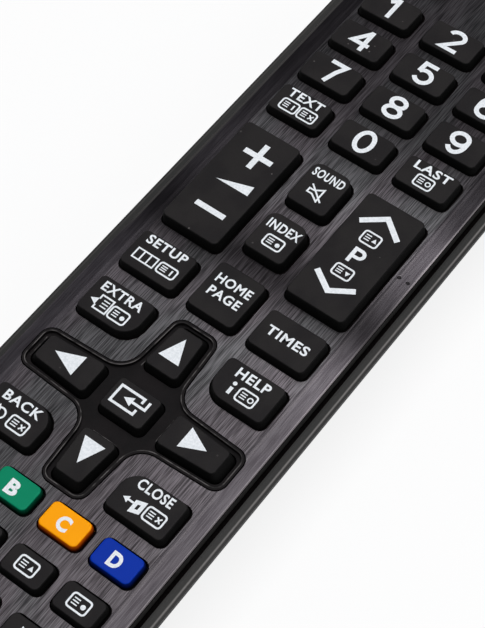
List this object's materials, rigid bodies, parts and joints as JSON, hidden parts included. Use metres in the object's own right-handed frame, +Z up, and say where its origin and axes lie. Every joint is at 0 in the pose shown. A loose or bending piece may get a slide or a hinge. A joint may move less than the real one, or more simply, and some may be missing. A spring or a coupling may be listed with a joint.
{
  "type": "tv remote control",
  "caption": "Slim hand-held remote control: rubber keys and a direction pad in a brushed plate, rocker keys for volume and channel, and a sliding cell cover at the back.",
  "frame": {"origin": "middle of the flat back, which it rests on", "axes": "+X to the right of the keys, +Y towards the end with the infrared window, +Z up out of the keys"},
  "size_m": [0.05, 0.21, 0.0215],
  "materials": {
    "brushed_plate": "plastic plate with a hairline-brushed dark film",
    "case_plastic": "fine-grained moulded ABS",
    "key_rubber": "matt moulded silicone with printed marks",
    "sheet_rubber": "moulded silicone",
    "key_red": "coloured silicone",
    "key_green": "coloured silicone",
    "key_yellow": "coloured silicone",
    "key_blue": "coloured silicone",
    "infrared_filter": "polished dark red filter plastic",
    "board_laminate": "solder resist over glass laminate",
    "chip_epoxy": "moulded epoxy with tinned legs",
    "lamp_epoxy": "clear tinted epoxy",
    "cell_jacket": null,
    "spring_steel": "nickel-plated spring steel",
    "screw_steel": "zinc-plated steel"
  },
  "bodies": {
    "remote": {"face_plate": "brushed_plate", "top_case": "case_plastic", "bottom_case": "case_plastic", "infrared_window": "infrared_filter", "circuit_board": "board_laminate", "keypad_sheet": "sheet_rubber", "direction_pad": "key_rubber", "battery_left": "cell_jacket", "battery_right": "cell_jacket", "bridge_contact": "spring_steel", "minus_contact": "spring_steel", "plus_contact": "spring_steel", "case_screws": "screw_steel", "controller_chip": "chip_epoxy", "infrared_led": "lamp_epoxy"},
    "battery_cover": {"battery_cover": "case_plastic"},
    "back_key": {"back_key": "key_rubber"},
    "channel_rocker": {"channel_rocker": "key_rubber"},
    "close_key": {"close_key": "key_rubber"},
    "colour_key_a": {"colour_key_a": "key_red"},
    "colour_key_b": {"colour_key_b": "key_green"},
    "colour_key_c": {"colour_key_c": "key_yellow"},
    "colour_key_d": {"colour_key_d": "key_blue"},
    "down_key": {"down_key": "key_rubber"},
    "enter_key": {"enter_key": "key_rubber"},
    "forward_key": {"forward_key": "key_rubber"},
    "function_key_1": {"function_key_1": "key_rubber"},
    "function_key_2": {"function_key_2": "key_rubber"},
    "function_key_3": {"function_key_3": "key_rubber"},
    "function_key_4": {"function_key_4": "key_rubber"},
    "guide_key": {"guide_key": "key_rubber"},
    "help_key": {"help_key": "key_rubber"},
    "home_key": {"home_key": "key_rubber"},
    "key_0": {"key_0": "key_rubber"},
    "key_1": {"key_1": "key_rubber"},
    "key_2": {"key_2": "key_rubber"},
    "key_3": {"key_3": "key_rubber"},
    "key_4": {"key_4": "key_rubber"},
    "key_5": {"key_5": "key_rubber"},
    "key_6": {"key_6": "key_rubber"},
    "key_7": {"key_7": "key_rubber"},
    "key_8": {"key_8": "key_rubber"},
    "key_9": {"key_9": "key_rubber"},
    "last_key": {"last_key": "key_rubber"},
    "left_key": {"left_key": "key_rubber"},
    "list_key": {"list_key": "key_rubber"},
    "menu_key": {"menu_key": "key_rubber"},
    "option_key": {"option_key": "key_rubber"},
    "pause_key": {"pause_key": "key_rubber"},
    "play_key": {"play_key": "key_rubber"},
    "power_key": {"power_key": "key_rubber"},
    "record_key": {"record_key": "key_rubber"},
    "rewind_key": {"rewind_key": "key_rubber"},
    "right_key": {"right_key": "key_rubber"},
    "sound_key": {"sound_key": "key_rubber"},
    "source_key": {"source_key": "key_rubber"},
    "stop_key": {"stop_key": "key_rubber"},
    "text_key": {"text_key": "key_rubber"},
    "up_key": {"up_key": "key_rubber"},
    "volume_rocker": {"volume_rocker": "key_rubber"}
  },
  "joints": [
    {"name": "cover_slide", "type": "slide", "parent": "remote", "child": "battery_cover", "axis": [0, -1, 0], "range_m": [0, 0.05]},
    {"name": "press_back_key", "type": "slide", "parent": "remote", "child": "back_key", "axis": [0, 0, -1], "range_m": [0, 0.001], "stiffness_N_per_m": 600},
    {"name": "channel_rock", "type": "hinge", "parent": "remote", "child": "channel_rocker", "pos_m": [0.01262, 0.03519, 0.019], "axis": [1, 0, 0], "range_deg": [-3, 3], "stiffness_Nm_per_rad": 0.35},
    {"name": "press_close_key", "type": "slide", "parent": "remote", "child": "close_key", "axis": [0, 0, -1], "range_m": [0, 0.001], "stiffness_N_per_m": 600},
    {"name": "press_colour_key_a", "type": "slide", "parent": "remote", "child": "colour_key_a", "axis": [0, 0, -1], "range_m": [0, 0.001], "stiffness_N_per_m": 600},
    {"name": "press_colour_key_b", "type": "slide", "parent": "remote", "child": "colour_key_b", "axis": [0, 0, -1], "range_m": [0, 0.001], "stiffness_N_per_m": 600},
    {"name": "press_colour_key_c", "type": "slide", "parent": "remote", "child": "colour_key_c", "axis": [0, 0, -1], "range_m": [0, 0.001], "stiffness_N_per_m": 600},
    {"name": "press_colour_key_d", "type": "slide", "parent": "remote", "child": "colour_key_d", "axis": [0, 0, -1], "range_m": [0, 0.001], "stiffness_N_per_m": 600},
    {"name": "press_down_key", "type": "slide", "parent": "remote", "child": "down_key", "axis": [0, 0, -1], "range_m": [0, 0.001], "stiffness_N_per_m": 600},
    {"name": "press_enter_key", "type": "slide", "parent": "remote", "child": "enter_key", "axis": [0, 0, -1], "range_m": [0, 0.001], "stiffness_N_per_m": 600},
    {"name": "press_forward_key", "type": "slide", "parent": "remote", "child": "forward_key", "axis": [0, 0, -1], "range_m": [0, 0.001], "stiffness_N_per_m": 600},
    {"name": "press_function_key_1", "type": "slide", "parent": "remote", "child": "function_key_1", "axis": [0, 0, -1], "range_m": [0, 0.001], "stiffness_N_per_m": 600},
    {"name": "press_function_key_2", "type": "slide", "parent": "remote", "child": "function_key_2", "axis": [0, 0, -1], "range_m": [0, 0.001], "stiffness_N_per_m": 600},
    {"name": "press_function_key_3", "type": "slide", "parent": "remote", "child": "function_key_3", "axis": [0, 0, -1], "range_m": [0, 0.001], "stiffness_N_per_m": 600},
    {"name": "press_function_key_4", "type": "slide", "parent": "remote", "child": "function_key_4", "axis": [0, 0, -1], "range_m": [0, 0.001], "stiffness_N_per_m": 600},
    {"name": "press_guide_key", "type": "slide", "parent": "remote", "child": "guide_key", "axis": [0, 0, -1], "range_m": [0, 0.001], "stiffness_N_per_m": 600},
    {"name": "press_help_key", "type": "slide", "parent": "remote", "child": "help_key", "axis": [0, 0, -1], "range_m": [0, 0.001], "stiffness_N_per_m": 600},
    {"name": "press_home_key", "type": "slide", "parent": "remote", "child": "home_key", "axis": [0, 0, -1], "range_m": [0, 0.001], "stiffness_N_per_m": 600},
    {"name": "press_key_0", "type": "slide", "parent": "remote", "child": "key_0", "axis": [0, 0, -1], "range_m": [0, 0.001], "stiffness_N_per_m": 600},
    {"name": "press_key_1", "type": "slide", "parent": "remote", "child": "key_1", "axis": [0, 0, -1], "range_m": [0, 0.001], "stiffness_N_per_m": 600},
    {"name": "press_key_2", "type": "slide", "parent": "remote", "child": "key_2", "axis": [0, 0, -1], "range_m": [0, 0.001], "stiffness_N_per_m": 600},
    {"name": "press_key_3", "type": "slide", "parent": "remote", "child": "key_3", "axis": [0, 0, -1], "range_m": [0, 0.001], "stiffness_N_per_m": 600},
    {"name": "press_key_4", "type": "slide", "parent": "remote", "child": "key_4", "axis": [0, 0, -1], "range_m": [0, 0.001], "stiffness_N_per_m": 600},
    {"name": "press_key_5", "type": "slide", "parent": "remote", "child": "key_5", "axis": [0, 0, -1], "range_m": [0, 0.001], "stiffness_N_per_m": 600},
    {"name": "press_key_6", "type": "slide", "parent": "remote", "child": "key_6", "axis": [0, 0, -1], "range_m": [0, 0.001], "stiffness_N_per_m": 600},
    {"name": "press_key_7", "type": "slide", "parent": "remote", "child": "key_7", "axis": [0, 0, -1], "range_m": [0, 0.001], "stiffness_N_per_m": 600},
    {"name": "press_key_8", "type": "slide", "parent": "remote", "child": "key_8", "axis": [0, 0, -1], "range_m": [0, 0.001], "stiffness_N_per_m": 600},
    {"name": "press_key_9", "type": "slide", "parent": "remote", "child": "key_9", "axis": [0, 0, -1], "range_m": [0, 0.001], "stiffness_N_per_m": 600},
    {"name": "press_last_key", "type": "slide", "parent": "remote", "child": "last_key", "axis": [0, 0, -1], "range_m": [0, 0.001], "stiffness_N_per_m": 600},
    {"name": "press_left_key", "type": "slide", "parent": "remote", "child": "left_key", "axis": [0, 0, -1], "range_m": [0, 0.001], "stiffness_N_per_m": 600},
    {"name": "press_list_key", "type": "slide", "parent": "remote", "child": "list_key", "axis": [0, 0, -1], "range_m": [0, 0.001], "stiffness_N_per_m": 600},
    {"name": "press_menu_key", "type": "slide", "parent": "remote", "child": "menu_key", "axis": [0, 0, -1], "range_m": [0, 0.001], "stiffness_N_per_m": 600},
    {"name": "press_option_key", "type": "slide", "parent": "remote", "child": "option_key", "axis": [0, 0, -1], "range_m": [0, 0.001], "stiffness_N_per_m": 600},
    {"name": "press_pause_key", "type": "slide", "parent": "remote", "child": "pause_key", "axis": [0, 0, -1], "range_m": [0, 0.001], "stiffness_N_per_m": 600},
    {"name": "press_play_key", "type": "slide", "parent": "remote", "child": "play_key", "axis": [0, 0, -1], "range_m": [0, 0.001], "stiffness_N_per_m": 600},
    {"name": "press_power_key", "type": "slide", "parent": "remote", "child": "power_key", "axis": [0, 0, -1], "range_m": [0, 0.001], "stiffness_N_per_m": 600},
    {"name": "press_record_key", "type": "slide", "parent": "remote", "child": "record_key", "axis": [0, 0, -1], "range_m": [0, 0.001], "stiffness_N_per_m": 600},
    {"name": "press_rewind_key", "type": "slide", "parent": "remote", "child": "rewind_key", "axis": [0, 0, -1], "range_m": [0, 0.001], "stiffness_N_per_m": 600},
    {"name": "press_right_key", "type": "slide", "parent": "remote", "child": "right_key", "axis": [0, 0, -1], "range_m": [0, 0.001], "stiffness_N_per_m": 600},
    {"name": "press_sound_key", "type": "slide", "parent": "remote", "child": "sound_key", "axis": [0, 0, -1], "range_m": [0, 0.001], "stiffness_N_per_m": 600},
    {"name": "press_source_key", "type": "slide", "parent": "remote", "child": "source_key", "axis": [0, 0, -1], "range_m": [0, 0.001], "stiffness_N_per_m": 600},
    {"name": "press_stop_key", "type": "slide", "parent": "remote", "child": "stop_key", "axis": [0, 0, -1], "range_m": [0, 0.001], "stiffness_N_per_m": 600},
    {"name": "press_text_key", "type": "slide", "parent": "remote", "child": "text_key", "axis": [0, 0, -1], "range_m": [0, 0.001], "stiffness_N_per_m": 600},
    {"name": "press_up_key", "type": "slide", "parent": "remote", "child": "up_key", "axis": [0, 0, -1], "range_m": [0, 0.001], "stiffness_N_per_m": 600},
    {"name": "volume_rock", "type": "hinge", "parent": "remote", "child": "volume_rocker", "pos_m": [-0.01262, 0.03519, 0.019], "axis": [1, 0, 0], "range_deg": [-3, 3], "stiffness_Nm_per_rad": 0.35}
  ]
}
